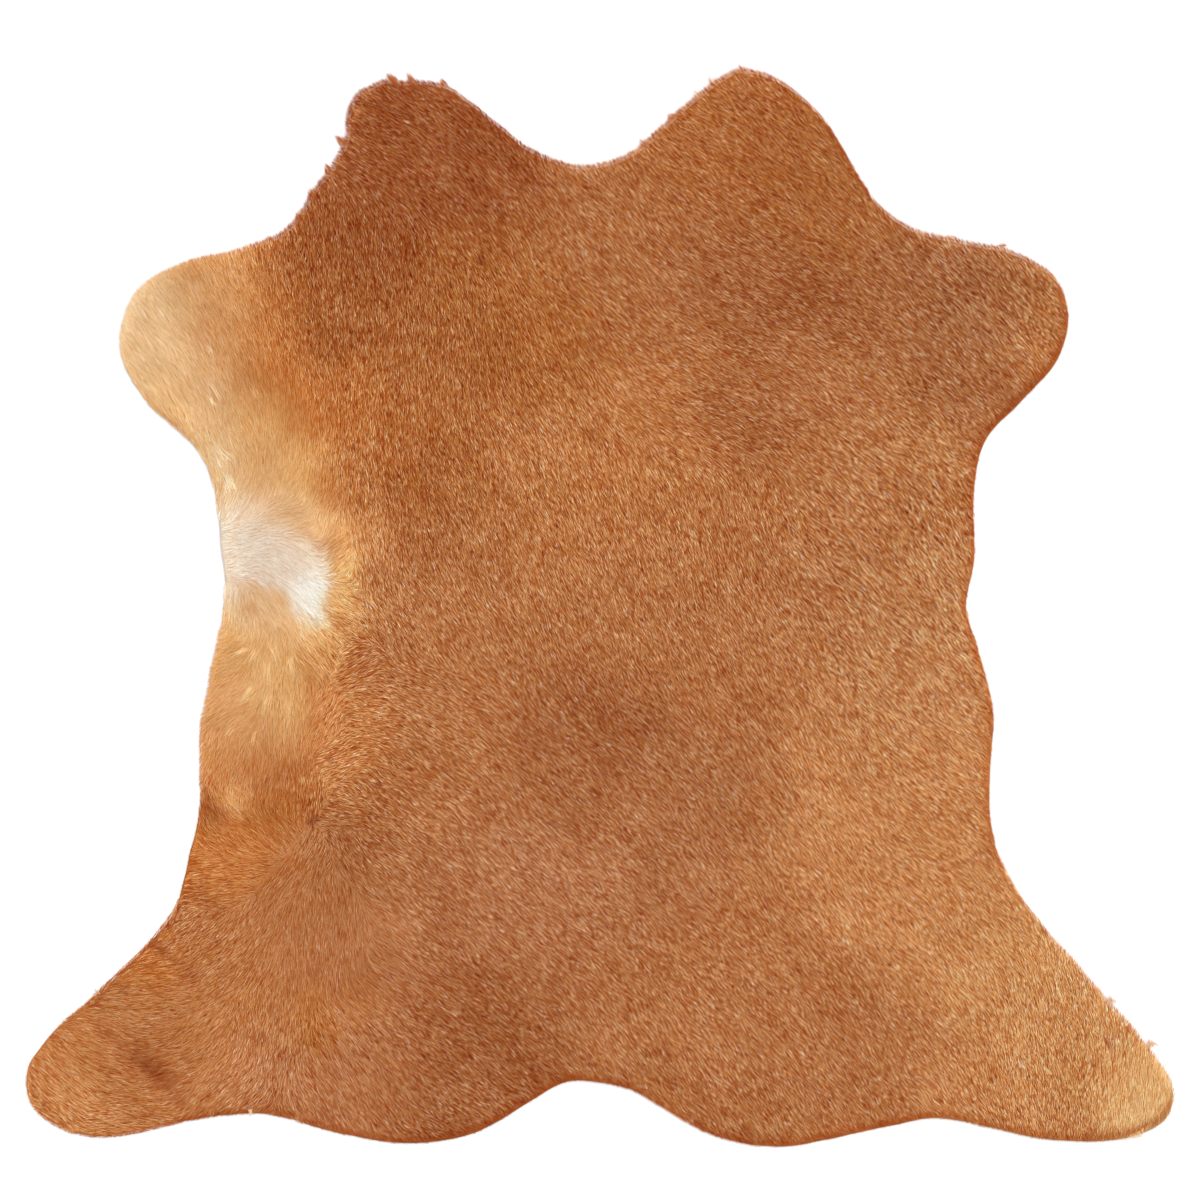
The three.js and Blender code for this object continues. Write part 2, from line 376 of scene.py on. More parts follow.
# Single tufts, streaks, flecks and stray hairs: where their tips lie, which way they point,
# how long they are, how far apart their roots lie, how many locks they have, and their
# colour where it isn't the coat's
TUFTS = named_rows("Tuft", "place x y towards length apart locks colour", (
    ("left neck lobe, lowest", -228, 409, 128, 11, 2, 26, None),
    ("left neck lobe, low", -219, 425, 150, 9, 1.6, 16, None),
    ("left neck lobe, middle", -216, 434, 140, 13, 2, 30, None),
    ("left neck lobe, high", -206, 448, 140, 9, 2, 20, None),
    ("left neck lobe, corner", -184, 462, 135, 11, 2, 26, None),
    ("left neck lobe, top", -166, 462, 120, 12, 2, 26, None),
    ("left neck lobe, right", -138, 458, 130, 8, 2.5, 16, None),
    ("side of the neck", -238, 384, 130, 9, 3, 24, None),
    ("side of the neck, low", -252, 362, 125, 8, 4, 24, None),
    ("neck hollow, right", 36, 406, 128, 8, 3, 18, None),
    ("right neck lobe, low", 60, 428, 128, 8, 4, 18, None),
    ("right neck lobe, middle", 82, 448, 128, 10, 2.5, 10, None),
    ("right neck lobe, high", 96, 460, 122, 10, 2.5, 9, None),
    ("right neck lobe, top", 121, 470, 120, 8, 3, 14, None),
    ("left shoulder", -290, 322, 120, 8, 2.5, 12, None),
    ("left fore leg", -350, 303, 128, 8, 2.5, 9, "honey brown"),
    ("left shoulder, high", -262, 344, 120, 8, 4, 20, None),
    ("right fore leg", 303, 322, 132, 8, 3, 14, None),
    ("right fore leg, outer", 345, 313, 140, 7, 6, 24, None),
    ("right hind leg", 444, -340, 110, 8, 1.6, 9, "honey tan"),
    ("right hind leg, low", 478, -378, 100, 7, 5, 20, "honey tan"),
    ("right hind corner, low", 470, -460, -60, 7, 9, 34, "biscuit"),
    ("left hind leg", -439, -333, 150, 7, 1, 7, "pale cream"),
    ("under the left leg", -304, -441, -88, 8, 3, 14, "pale cream"),
    ("under the left leg, outer", -338, -442, -80, 7, 5, 16, "light caramel"),
    ("under the left leg, inner", -262, -447, -90, 7, 6, 18, "light caramel"),
    ("fore leg streak, top", -400, 259, 124, 12, 1.2, 10, "pale cream"),
    ("fore leg streak, high", -384, 258, 122, 12, 1.2, 9, "pale cream"),
    ("fore leg streak", -341, 227, 118, 12, 1.2, 10, "pale cream"),
    ("fore leg streak, long", -337, 192, 118, 22, 1.1, 14, "pale cream"),
    ("fore leg streak, low", -340, 184, 120, 15, 1.2, 10, "pale cream"),
    ("fore leg streak, right", -302, 191, 112, 16, 1.4, 12, "biscuit"),
    ("fore leg streak, outer", -413, 243, 128, 8, 0.7, 6, "pale cream"),
    ("fore leg streak, foot", -392, 193, 126, 14, 1.6, 10, "cream"),
    ("shade of the stray hair", -248.3, -12, -50, 21, 0.3, 12, "caramel"),
    ("stray hair on the patch", -247, -11, -50, 21, 0.2, 8, "white"),
    ("right of the patch", -196, 2, -53, 13, 1, 8, "cream"),
    ("arm pit streak", -333, 136, 124, 22, 4.5, 36, "milk"),
    ("arm pit streak, low", -324, 112, 112, 20, 3.5, 30, "milk"),
    ("fan streak, middle", -281, -46, -70, 24, 2.2, 22, "cream"),
    ("fan streak, left", -304, -48, -116, 20, 1.8, 18, "cream"),
    ("fan streak, far left", -318, -42, -150, 18, 1.8, 14, "cream"),
    ("fan streak, inner", -290, -62, -95, 26, 1.8, 24, "cream"),
    ("fan streak, right", -266, -58, -72, 22, 1.8, 18, "cream"),
    ("fan streak, low", -292, -88, -108, 22, 1.8, 18, "cream"),
    ("fan streak, low left", -310, -80, -125, 22, 1.8, 16, "cream"),
    ("fan streak, low right", -272, -96, -98, 22, 1.8, 14, "cream"),
    ("fan streak, outer", -325, -112, -128, 14, 1.4, 12, "cream"),
    ("fan streak, foot", -303, -118, -104, 14, 1.2, 10, "cream"),
    ("flank, upper tuft", -313, -160, -42, 13, 2, 16, "honey"),
    ("flank, right tuft", -303, -165, -48, 12, 2, 14, "honey"),
    ("flank, lower tuft", -316, -174, -38, 17, 2.4, 22, "honey"),
    ("ribs scratch", 46, 115, -50, 17, 0.7, 7, "biscuit"),
    ("rump scratch", -102, -235, -52, 12, 0.7, 6, "biscuit"),
    *((*fleck, 0.3, 2, "white") for fleck in FLECKS),
    ("right waist flecks, high", 319, 142, 130, 4, 4, 14, "pale cream"),
    ("right waist flecks", 318, 118, 130, 4, 4, 16, "pale cream"),
    ("right waist flecks, inner", 292, 103, 130, 4, 4, 8, "pale cream"),
    ("right waist flecks, low", 320, 61, 130, 4, 3, 6, "pale cream"),
))


class SkinSettings(bpy.types.PropertyGroup):
    """Sizes and colours of the tanned skin"""

    thickness: FloatProperty(
        name="Thickness",
        description="Thickness of the tanned skin",
        default=0.002, min=0.001, max=0.004, unit="LENGTH",
    )
    grid: FloatProperty(
        name="Grid",
        description="Spacing of the cuts that let the skin bend over its folds",
        default=0.012, min=0.005, max=0.05, unit="LENGTH",
    )
    edge_step: FloatProperty(
        name="Edge Step",
        description="Spacing of the points along the cut edge",
        default=0.003, min=0.001, max=0.02, unit="LENGTH",
    )
    inset: FloatProperty(
        name="Inset",
        description="How far the cut edge lies inside the hair's outline on every side",
        default=0.0006, min=0, max=0.01, unit="LENGTH",
    )
    overhang: FloatProperty(
        name="Overhang",
        description="How far the hair reaches past the cut edge where it points outwards",
        default=0.005, min=0, max=0.02, unit="LENGTH",
    )
    flesh: FloatVectorProperty(
        name="Flesh Side",
        description="Colour of the buffed flesh side",
        default=(0.62, 0.5, 0.36), min=0, max=1, size=3, subtype="COLOR",
    )
    cut: FloatVectorProperty(
        name="Cut Edge",
        description="Colour of the cut edge of the skin",
        default=(0.5, 0.34, 0.2), min=0, max=1, size=3, subtype="COLOR",
    )


class CoatSettings(bpy.types.PropertyGroup):
    """Sizes of the lying coat"""

    spacing: FloatProperty(
        name="Spacing",
        description="Distance between the roots of neighbouring locks",
        default=0.00115, min=0.001, max=0.02, unit="LENGTH",
    )
    length: FloatProperty(
        name="Length",
        description="Length of an average lock",
        default=0.0062, min=0.002, max=0.03, unit="LENGTH",
    )
    width: FloatProperty(
        name="Width",
        description="Width of an average lock at its widest",
        default=0.00052, min=0.0002, max=0.005, unit="LENGTH",
    )
    height: FloatProperty(
        name="Height",
        description="Height of the coat's top over the floor",
        default=0.005, min=0.003, max=0.01, unit="LENGTH",
    )
    pull: FloatProperty(
        name="Pull",
        description="How far the tips of a clump draw together",
        default=0.06, min=0, max=1, subtype="FACTOR",
    )
    spread: FloatProperty(
        name="Tone Spread",
        description="How much lighter or darker single locks are",
        default=1.1, min=0, max=3, subtype="FACTOR",
    )
    gain: FloatVectorProperty(
        name="Gain",
        description="How much brighter the hair is than the coat, whose locks shade each other",
        default=(1.46, 1.61, 1.385), min=0.5, max=3, size=3,
    )
    depth: FloatProperty(
        name="Depth of Colour",
        description="How much deeper the hair's dark colours are than the coat's",
        default=1.12, min=1, max=2,
    )
    seed: IntProperty(
        name="Seed",
        description="Start of the random numbers that lay the locks",
        default=7, min=0,
    )


class StageSettings(bpy.types.PropertyGroup):
    """The floor, the lights and the camera"""

    floor_size: FloatProperty(
        name="Floor Size",
        description="Side of the square floor",
        default=24, min=2, unit="LENGTH",
    )
    floor_colour: FloatVectorProperty(
        name="Floor Colour",
        description="Colour of the pale floor",
        default=(0.96, 0.96, 0.96), min=0, max=1, size=3, subtype="COLOR",
    )
    sky: FloatProperty(
        name="Sky",
        description="Strength of the even light from all round",
        default=0.79, min=0,
    )
    key: FloatProperty(
        name="Key",
        description="Strength of the soft light from the upper right",
        default=1.5, min=0,
    )
    camera_height: FloatProperty(
        name="Camera Height",
        description="Height of the camera over the rug",
        default=4, min=1, unit="LENGTH",
    )
    view_width: FloatProperty(
        name="View Width",
        description="Width of the view at the rug",
        default=1.045, min=0.5, unit="LENGTH",
    )


def linear(colour):
    """Colours from 0 to 255 as linear light from 0 to 1."""
    shown = np.clip(np.asarray(colour, float) / 255, 0, 1)
    return np.where(shown <= 0.04045, shown / 12.92, ((shown + 0.055) / 1.055) ** 2.4)


def unit(x, y):
    """Vectors brought to a length of one."""
    length = np.maximum(np.hypot(x, y), 1e-9)
    return x / length, y / length


def blended(grid, column, row, right, above, share_x, share_y):
    """A grid's values at places, blended from the four grid points round each."""
    low = grid[row, column] * (1 - share_x) + grid[row, right] * share_x
    high = grid[above, column] * (1 - share_x) + grid[above, right] * share_x
    return low * (1 - share_y) + high * share_y


def soft_noise(x, y, size, seed):
    """Smooth noise from -1 to 1 whose spots are about the given size."""
    cells = NOISE_CELLS
    grid = np.random.default_rng(seed).uniform(-1, 1, (cells, cells))
    across = np.asarray(x) / size + cells / 2
    up = np.asarray(y) / size + cells / 2
    column = np.floor(across).astype(int)
    row = np.floor(up).astype(int)
    share_x = across - column
    share_y = up - row
    share_x = share_x * share_x * (3 - 2 * share_x)
    share_y = share_y * share_y * (3 - 2 * share_y)
    column %= cells
    row %= cells
    right = (column + 1) % cells
    above = (row + 1) % cells
    return blended(grid, column, row, right, above, share_x, share_y)


def wander(x, y, seed):
    """How far the edges of the soft areas are moved at places, to break them up."""
    return 9 * soft_noise(x, y, 34, seed) + 4 * soft_noise(x, y, 13, seed + 1)


def coat_colour(x, y):
    """The coat's own colour at places, from 0 to 255, with the areas' edges broken up."""
    loose = 1 - 0.75 * calmness(x, y)
    bent_x = x + loose * wander(x, y, 11)
    bent_y = y + loose * wander(x, y, 13)
    total = np.full(np.shape(x), GROUND_WEIGHT)
    mixed = total[..., None] * np.array(PALETTE[GROUND], float)
    for area in AREAS:
        away = ((bent_x - area.x) / area.wide) ** 2 + ((bent_y - area.y) / area.tall) ** 2
        share = area.weight * np.exp(-away)
        total += share
        mixed += share[..., None] * np.array(PALETTE[area.colour], float)
    return mixed / total[..., None]


def line_distance(x, y, line):
    """Distance of places from the line of a crease or of its painted shade."""
    run_x = line.x1 - line.x0
    run_y = line.y1 - line.y0
    along = ((x - line.x0) * run_x + (y - line.y0) * run_y) / (run_x**2 + run_y**2)
    along = np.clip(along, 0, 1)
    return np.hypot(x - line.x0 - along * run_x, y - line.y0 - along * run_y)


def blotches_and_sheen(x, y):
    """Soft blotches of lighter and darker hair, from about -1 to 1: partly own tone, partly a
    painted sheen.
    """
    broad = soft_noise(x, y, 46, 24) + 0.8 * soft_noise(x, y, 21, 25)
    return 0.7 * broad + 0.6 * soft_noise(x, y, 9, 26)


def calmness(x, y):
    """How smooth and even the hair lies at places, up to 1 where it is smooth."""
    rough = np.ones(np.shape(x))
    for area in CALMS:
        away = ((x - area.x) / area.wide) ** 2 + ((y - area.y) / area.tall) ** 2
        rough *= 1 - area.calm * np.exp(-(away**2))
    return 1 - rough


def crease_shade_strength(x, y):
    """How strongly painted shade pulls the hair towards its deep colour at places, from 0 to 1.
    """
    strength = np.zeros(np.shape(x))
    for shade_line in CREASE_SHADES:
        away = line_distance(x, y, shade_line) / shade_line.width
        strength = np.maximum(strength, shade_line.strength * np.exp(-(away**2)))
    return strength


def toned_with_sheen_and_shade(colour, tone, calm):
    """Colours made lighter and greyer, or darker and redder, by each lock's tone: its own colour
    together with a painted sheen on the lighter locks and painted shade on the darker.
    """
    swing = np.where(tone[:, None] > 0, LIGHTER_AND_SHEEN, DARKER_AND_SHADE) * (1 - SMOOTH_SWING * calm[:, None])
    return colour + swing * tone[:, None]


def hair_flow(x, y):
    """Unit vectors along which the tips point at places."""
    flow_x = np.zeros(np.shape(x))
    flow_y = np.zeros(np.shape(x))
    for stroke in STROKES:
        away = ((x - stroke.x) ** 2 + (y - stroke.y) ** 2) / stroke.reach**2
        share = np.exp(-away) + FAR_SHARE / (1 + away) ** 2
        flow_x += share * math.cos(math.radians(stroke.towards))
        flow_y += share * math.sin(math.radians(stroke.towards))
    return unit(flow_x, flow_y)


def over_edge(flow_x, flow_y, edge, out_x, out_y):
    """The flow with the hair near the upper and left edges falling outwards over them."""
    open_side = np.clip(out_x * OPEN_SIDE[0] + out_y * OPEN_SIDE[1], 0, 1)
    fall = EDGE_FALL * open_side * np.exp(-np.maximum(edge, 0) / EDGE_FALL_WIDTH)
    return unit(flow_x + fall * out_x, flow_y + fall * out_y)


def swell_height(x, y):
    """Height of the slow swells at places."""
    height = np.zeros(np.shape(x))
    for swell in SWELLS:
        turn = x / swell.along_x + y / swell.along_y
        height += swell.height * np.sin(turn * math.tau + swell.start)
    return height


def crease_depth(x, y):
    """Depth of the creases at places."""
    depth = np.zeros(np.shape(x))
    for crease in CREASES:
        away = line_distance(x, y, crease) / crease.width
        depth += crease.depth * np.exp(-(away**2))
    return depth


def skin_top(x, y, thickness):
    """Height of the skin's hair side, whose other side never dips under the floor."""
    lift = 0.75 + 0.6 * swell_height(x, y) - 0.5 * crease_depth(x, y)
    return thickness + 0.1 + np.logaddexp(0, 4 * lift) / 4


def coat_level(x, y, height):
    """Height of the coat's top over the floor."""
    return height + swell_height(x, y) - crease_depth(x, y)


def even_ring(ring, step):
    """A closed ring of points taken again at an even step."""
    closed = np.vstack([ring, ring[:1]])
    run = np.concatenate([[0], np.cumsum(np.hypot(*np.diff(closed, axis=0).T))])
    count = round(run[-1] / step)
    places = np.arange(count) * run[-1] / count
    return np.column_stack([np.interp(places, run, closed[:, axis]) for axis in (0, 1)])


def smooth_ring(values, width):
    """A closed ring of values with each one averaged over its neighbours."""
    offsets = np.arange(-2 * width, 2 * width + 1)
    weights = np.exp(-((offsets / width) ** 2))
    rolled = [weight * np.roll(values, offset, 0) for offset, weight in zip(offsets, weights)]
    return sum(rolled) / weights.sum()


def outward(ring):
    """The outward normal at each point of a ring that runs anticlockwise."""
    run = np.roll(ring, -1, 0) - np.roll(ring, 1, 0)
    return np.column_stack(unit(run[:, 1], -run[:, 0]))


def hide_outline():
    """The outline of the frame's hide on the floor, anticlockwise, in millimetres."""
    mesh = bmesh.new()
    mesh.from_mesh(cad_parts["hide"].data)
    bmesh.ops.remove_doubles(mesh, verts=mesh.verts, dist=0.01 * MM)
    mesh.normal_update()
    under = {face for face in mesh.faces if face.normal.z < -0.9}
    onward = {}
    for face in under:
        for loop in face.loops:
            if any(other not in under for other in loop.edge.link_faces):
                onward[loop.link_loop_next.vert] = loop.vert
    vert = min(onward, key=lambda corner: tuple(corner.co))
    ring = []
    for _ in onward:
        ring.append(vert.co.to_2d() / MM)
        vert = onward[vert]
    mesh.free()
    return np.array(ring)


def skin_ring(settings):
    """The cut edge of the skin: inside the outline, and further in under overhanging hair."""
    step = settings.edge_step / MM
    ring = even_ring(hide_outline(), step)
    ring = smooth_ring(ring, 2)
    normals = outward(ring)
    flow_x, flow_y = hair_flow(ring[:, 0], ring[:, 1])
    flow_x, flow_y = over_edge(flow_x, flow_y, 0, normals[:, 0], normals[:, 1])
    outwards = np.maximum(0, flow_x * normals[:, 0] + flow_y * normals[:, 1])
    inset = settings.inset + settings.overhang * smooth_ring(outwards, 3)
    return even_ring(ring - normals * inset[:, None] / MM, step)


class EdgeChart:
    """Distance to the cut edge over the rug, positive inside, on an even grid."""

    step = 4

    def __init__(self, ring):
        low = ring.min(0) - 10 * self.step
        high = ring.max(0) + 10 * self.step
        self.low = low
        columns = np.arange(low[0], high[0], self.step)
        rows = np.arange(low[1], high[1], self.step)
        x, y = np.meshgrid(columns, rows)
        nearest = np.full(x.shape, np.inf)
        inside = np.zeros(x.shape, bool)
        for start, end in zip(ring, np.roll(ring, -1, 0)):
            run = end - start
            along = ((x - start[0]) * run[0] + (y - start[1]) * run[1]) / (run @ run)
            along = np.clip(along, 0, 1)
            away = np.hypot(x - start[0] - along * run[0], y - start[1] - along * run[1])
            nearest = np.minimum(nearest, away)
            if run[1]:
                crosses = (start[1] > y) != (end[1] > y)
                inside ^= crosses & (x < start[0] + (y - start[1]) * run[0] / run[1])
        self.distance = np.where(inside, nearest, -nearest)

    def at(self, x, y):
        """The distance at places."""
        across = np.clip((x - self.low[0]) / self.step, 0, self.distance.shape[1] - 1.001)
        up = np.clip((y - self.low[1]) / self.step, 0, self.distance.shape[0] - 1.001)
        column = across.astype(int)
        row = up.astype(int)
        return blended(
            self.distance, column, row, column + 1, row + 1, across - column, up - row
        )

    def slope(self, x, y):
        """The outward direction of the nearest edge at places."""
        right = self.at(x + self.step, y) - self.at(x - self.step, y)
        above = self.at(x, y + self.step) - self.at(x, y - self.step)
        return unit(-right, -above)


def new_object(name, data):
    """An object in the scene for mesh, light or camera data."""
    made = bpy.data.objects.new(name, data)
    bpy.context.scene.collection.objects.link(made)
    return made


def new_material(name, roughness, specular):
    """A material with its node tree and its Principled BSDF."""
    material = bpy.data.materials.new(name)
    material.use_nodes = True
    tree = material.node_tree
    shader = tree.nodes["Principled BSDF"]
    shader.inputs["Roughness"].default_value = roughness
    shader.inputs["Specular IOR Level"].default_value = specular
    return material, tree, shader


def link_coat_colour(tree, socket):
    """Gives a socket the colours of the coat's colour layer."""
    layer = tree.nodes.new("ShaderNodeAttribute")
    layer.attribute_name = COLOUR_LAYER
    tree.links.new(layer.outputs["Color"], socket)


def math_node(nodes, operation, entry, value):
    """A math node with one of its entries set."""
    node = nodes.new("ShaderNodeMath")
    node.operation = operation
    node.inputs[entry].default_value = value
    return node


# Finishes of the skin: how fine their mottling and nap are, how deep the mottling's colour
# is, and the height of the nap in metres
NAPS = named_rows("Nap", "name mottle_scale nap_scale depth bump", (
    # the hair roots take the coat's colour layer, which holds painted shade there
    ("hair roots", 90, 1400, 0.5, 0.0004),
    ("flesh side", 26, 1500, 0.45, 0.0003),
    ("cut edge", 60, 1800, 0.6, 0.0003),
))


def nap_group():
    """A node group that mottles a colour and gives it a fine nap."""
    name = "Mottle and nap"
    if name in bpy.data.node_groups:
        return bpy.data.node_groups[name]
    group = bpy.data.node_groups.new(name, "ShaderNodeTree")
    sockets = group.interface
    sockets.new_socket(name="Colour", in_out="INPUT", socket_type="NodeSocketColor")
    for entry_name in ("Mottle Scale", "Nap Scale", "Depth"):
        sockets.new_socket(name=entry_name, in_out="INPUT", socket_type="NodeSocketFloat")
    sockets.new_socket(name="Colour", in_out="OUTPUT", socket_type="NodeSocketColor")
    sockets.new_socket(name="Height", in_out="OUTPUT", socket_type="NodeSocketFloat")
    nodes = group.nodes
    entry = nodes.new("NodeGroupInput")
    leave = nodes.new("NodeGroupOutput")
    place = nodes.new("ShaderNodeTexCoord")
    blotches = nodes.new("ShaderNodeTexNoise")
    blotches.inputs["Detail"].default_value = 5
    nap = nodes.new("ShaderNodeTexNoise")
    nap.inputs["Detail"].default_value = 3
    both = math_node(nodes, "MULTIPLY_ADD", 1, 0.4)
    swing = math_node(nodes, "SUBTRACT", 1, 0.7)
    depth = math_node(nodes, "MULTIPLY_ADD", 2, 1)
    scaled = nodes.new("ShaderNodeVectorMath")
    scaled.operation = "SCALE"
    for source, target in (
        (place.outputs["Object"], blotches.inputs["Vector"]),
        (place.outputs["Object"], nap.inputs["Vector"]),
        (entry.outputs["Mottle Scale"], blotches.inputs["Scale"]),
        (entry.outputs["Nap Scale"], nap.inputs["Scale"]),
        (nap.outputs["Fac"], both.inputs[0]),
        (blotches.outputs["Fac"], both.inputs[2]),
        (both.outputs[0], swing.inputs[0]),
        (swing.outputs[0], depth.inputs[0]),
        (entry.outputs["Depth"], depth.inputs[1]),
        (entry.outputs["Colour"], scaled.inputs[0]),
        (depth.outputs[0], scaled.inputs["Scale"]),
        (scaled.outputs["Vector"], leave.inputs["Colour"]),
        (nap.outputs["Fac"], leave.inputs["Height"]),
    ):
        group.links.new(source, target)
    return group


def nap_material(nap, colour):
    """A finish of the skin, whose colour comes from the coat's colour layer if none is given."""
    material, tree, shader = new_material(nap.name, 0.85, 0.25)
    group = tree.nodes.new("ShaderNodeGroup")
    group.node_tree = nap_group()
    group.inputs["Mottle Scale"].default_value = nap.mottle_scale
    group.inputs["Nap Scale"].default_value = nap.nap_scale
    group.inputs["Depth"].default_value = nap.depth
    if colour is None:
        link_coat_colour(tree, group.inputs["Colour"])
    else:
        group.inputs["Colour"].default_value = (*colour, 1)
    relief = tree.nodes.new("ShaderNodeBump")
    relief.inputs["Distance"].default_value = nap.bump
    tree.links.new(group.outputs["Colour"], shader.inputs["Base Color"])
    tree.links.new(group.outputs["Height"], relief.inputs["Height"])
    tree.links.new(relief.outputs["Normal"], shader.inputs["Normal"])
    return material


def hair_material():
    """The lying hair, in the colour layer's colours, with the soft gloss of short hair."""
    material, tree, shader = new_material("cattle hair", 0.55, 0.12)
    link_coat_colour(tree, shader.inputs["Base Color"])
    return material


def write_colours(mesh, colours):
    """Puts linear colours on a mesh's vertices as the coat's colour layer."""
    layer = mesh.color_attributes.new(COLOUR_LAYER, "FLOAT_COLOR", "POINT")
    filled = np.ones((len(mesh.vertices), 4), np.float32)
    filled[:, :3] = colours
    layer.data.foreach_set("color", filled.ravel())


class RUG_OT_skin(bpy.types.Operator):
    """Make the tanned skin: one thin sheet on the hide's swells and creases"""

    bl_idname = "rug.skin"
    bl_label = "Skin"

    def execute(self, context):
        settings = context.scene.rug_skin
        ring = skin_ring(settings)
        mesh = bpy.data.meshes.new("skin")
        shape = bmesh.new()
        verts = [shape.verts.new((x * MM, y * MM, 0)) for x, y in ring]
        shape.faces.new(verts)
        for axis in (0, 1):
            steps = math.ceil(np.abs(ring[:, axis]).max() * MM / settings.grid)
            for step in range(-steps, steps + 1):
                place = Vector((0, 0, 0))
                place[axis] = step * settings.grid
                normal = Vector((0, 0, 0))
                normal[axis] = 1
                everything = shape.verts[:] + shape.edges[:] + shape.faces[:]
                bmesh.ops.bisect_plane(shape, geom=everything, plane_co=place, plane_no=normal)
        for vert in shape.verts:
            top = skin_top(vert.co.x / MM, vert.co.y / MM, settings.thickness / MM)
            vert.co.z = top * MM
        shape.to_mesh(mesh)
        shape.free()
        places = np.empty(len(mesh.vertices) * 3)
        mesh.vertices.foreach_get("co", places)
        places = places.reshape(-1, 3) / MM
        calm = calmness(places[:, 0], places[:, 1])[:, None]
        # painted shade: the skin's hair side is darker than the coat, so the gaps between the
        # locks show dark
        roots = coat_colour(places[:, 0], places[:, 1]) - ROOT_SHADE * (1.2 - calm)
        write_colours(mesh, linear(roots))
        for nap, colour in zip(NAPS, (None, settings.flesh, settings.cut)):
            mesh.materials.append(nap_material(nap, colour))
        mesh.shade_smooth()
        skin = new_object("skin", mesh)
        solid = skin.modifiers.new("Thickness", "SOLIDIFY")
        solid.thickness = settings.thickness
        solid.offset = -1
        solid.material_offset = 1
        solid.material_offset_rim = 2
        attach(skin, "root")
        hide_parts("hide")
        return {"FINISHED"}


LOCK = np.dtype([
    ("x", float),
    ("y", float),
    ("turn", float),
    ("length", float),
    ("width", float),
    ("lift", float),
    ("roll", float),
    ("bend", float),
    ("calm", float),
    ("colour", float, 3),
])
LOCK_VERTS = 4
WIDEST = 0.36  # where along a lock it is widest
ROOTS_PAST_EDGE = 1.7  # how far past the skin's cut edge roots are still laid
CLUMP = 5  # spacing of the clumps whose tips draw together
STREAK = 2.4  # spacing of the streaks in smooth hair
SCATTER = 6.5  # how far single locks turn from the flow, in degrees
LOWEST = 0.25  # least height of a lock over the floor
BRIGHTEST = 0.96  # most light that a lock gives back
CALM_LENGTH = 1.2  # how much longer smooth hair is
REACH_RANGE = (0.9, 1.3)  # how far locks may reach, as shares of the outline's distance
SHORTEST = 0.25  # what is left of a lock at least when it is cut at the outline
CREASE_SHADE_AHEAD = 0.55  # where along a lock the painted crease shade is read
COLOUR_AHEAD = 0.6  # where along a lock the coat's colour is read
COLOUR_SCATTER = 3  # how far that place is moved from lock to lock
TINT = 0.55  # how much of a tuft's colour its locks take, when it isn't white
EDGE_HEIGHT = 0.3  # height of the coat at the cut edge, as a share of its full height
RIM_SLOPE = 11  # how steadily the coat rises from the edge
ARCH = 1.8  # how early a lock rises from its root
DROOP = 0.16  # how far a lock hangs for each millimetre past the cut edge
ROOT_DEPTH = 0.3  # how deep the roots are set in the skin
EDGE_SHADE_WIDTH = 2.5  # how far in the painted shade along those edges reaches
EDGE_SHADE_SHARE = 0.6  # and how strongly
STRIPS = (
    "coat_left_legs",
    "coat_left_flank",
    "coat_left_ribs",
    "coat_left_spine",
    "coat_right_spine",
    "coat_right_ribs",
    "coat_right_flank",
    "coat_right_legs",
)
# Root, right side, tip and left side of a lock in its cell of the bake map
CELL_SHAPE = np.array(((0.5, 0.08), (0.92, 0.4), (0.5, 0.92), (0.08, 0.4)))


def root_places(chart, spacing, rng):
    """Places for the roots: an even grid inside the cut edge, each one moved a little."""
    low = chart.low
    height, width = (size * chart.step for size in chart.distance.shape)
    x, y = np.meshgrid(np.arange(0, width, spacing), np.arange(0, height, spacing))
    x = (x + rng.uniform(0, spacing, x.shape)).ravel() + low[0]
    y = (y + rng.uniform(0, spacing, y.shape)).ravel() + low[1]
    kept = chart.at(x, y) > -ROOTS_PAST_EDGE
    return x[kept], y[kept]


def clumps(x, y, size, seed):
    """The clump that each root belongs to: its offset from the middle and its own chance."""
    rng = np.random.default_rng(seed)
    cells = NOISE_CELLS
    middles = rng.uniform(0, 1, (cells, cells, 2))
    chances = rng.normal(0, 1, (cells, cells))
    column = np.floor(x / size).astype(int)
    row = np.floor(y / size).astype(int)
    nearest = np.full(x.shape, np.inf)
    away_x = np.zeros(x.shape)
    away_y = np.zeros(x.shape)
    chance = np.zeros(x.shape)
    for step_x in (-1, 0, 1):
        for step_y in (-1, 0, 1):
            spot = middles[(row + step_y) % cells, (column + step_x) % cells]
            off_x = x - (column + step_x + spot[:, 0]) * size
            off_y = y - (row + step_y + spot[:, 1]) * size
            away = np.hypot(off_x, off_y)
            closer = away < nearest
            nearest = np.where(closer, away, nearest)
            away_x = np.where(closer, off_x, away_x)
            away_y = np.where(closer, off_y, away_y)
            own = chances[(row + step_y) % cells, (column + step_x) % cells]
            chance = np.where(closer, own, chance)
    return away_x, away_y, chance


def trimmed(locks, chart, reach, rng):
    """The lengths of the locks, cut where they would reach past the hide's outline."""
    edge = chart.at(locks["x"], locks["y"])
    tip_x = locks["x"] + locks["length"] * np.cos(locks["turn"])
    tip_y = locks["y"] + locks["length"] * np.sin(locks["turn"])
    past = chart.at(tip_x, tip_y)
    reach = reach * rng.uniform(*REACH_RANGE, len(locks))
    share = np.clip((edge + reach) / np.maximum(edge - past, 0.1), SHORTEST, 1)
    share = np.where(past < -reach, share, 1)
    return locks["length"] * share


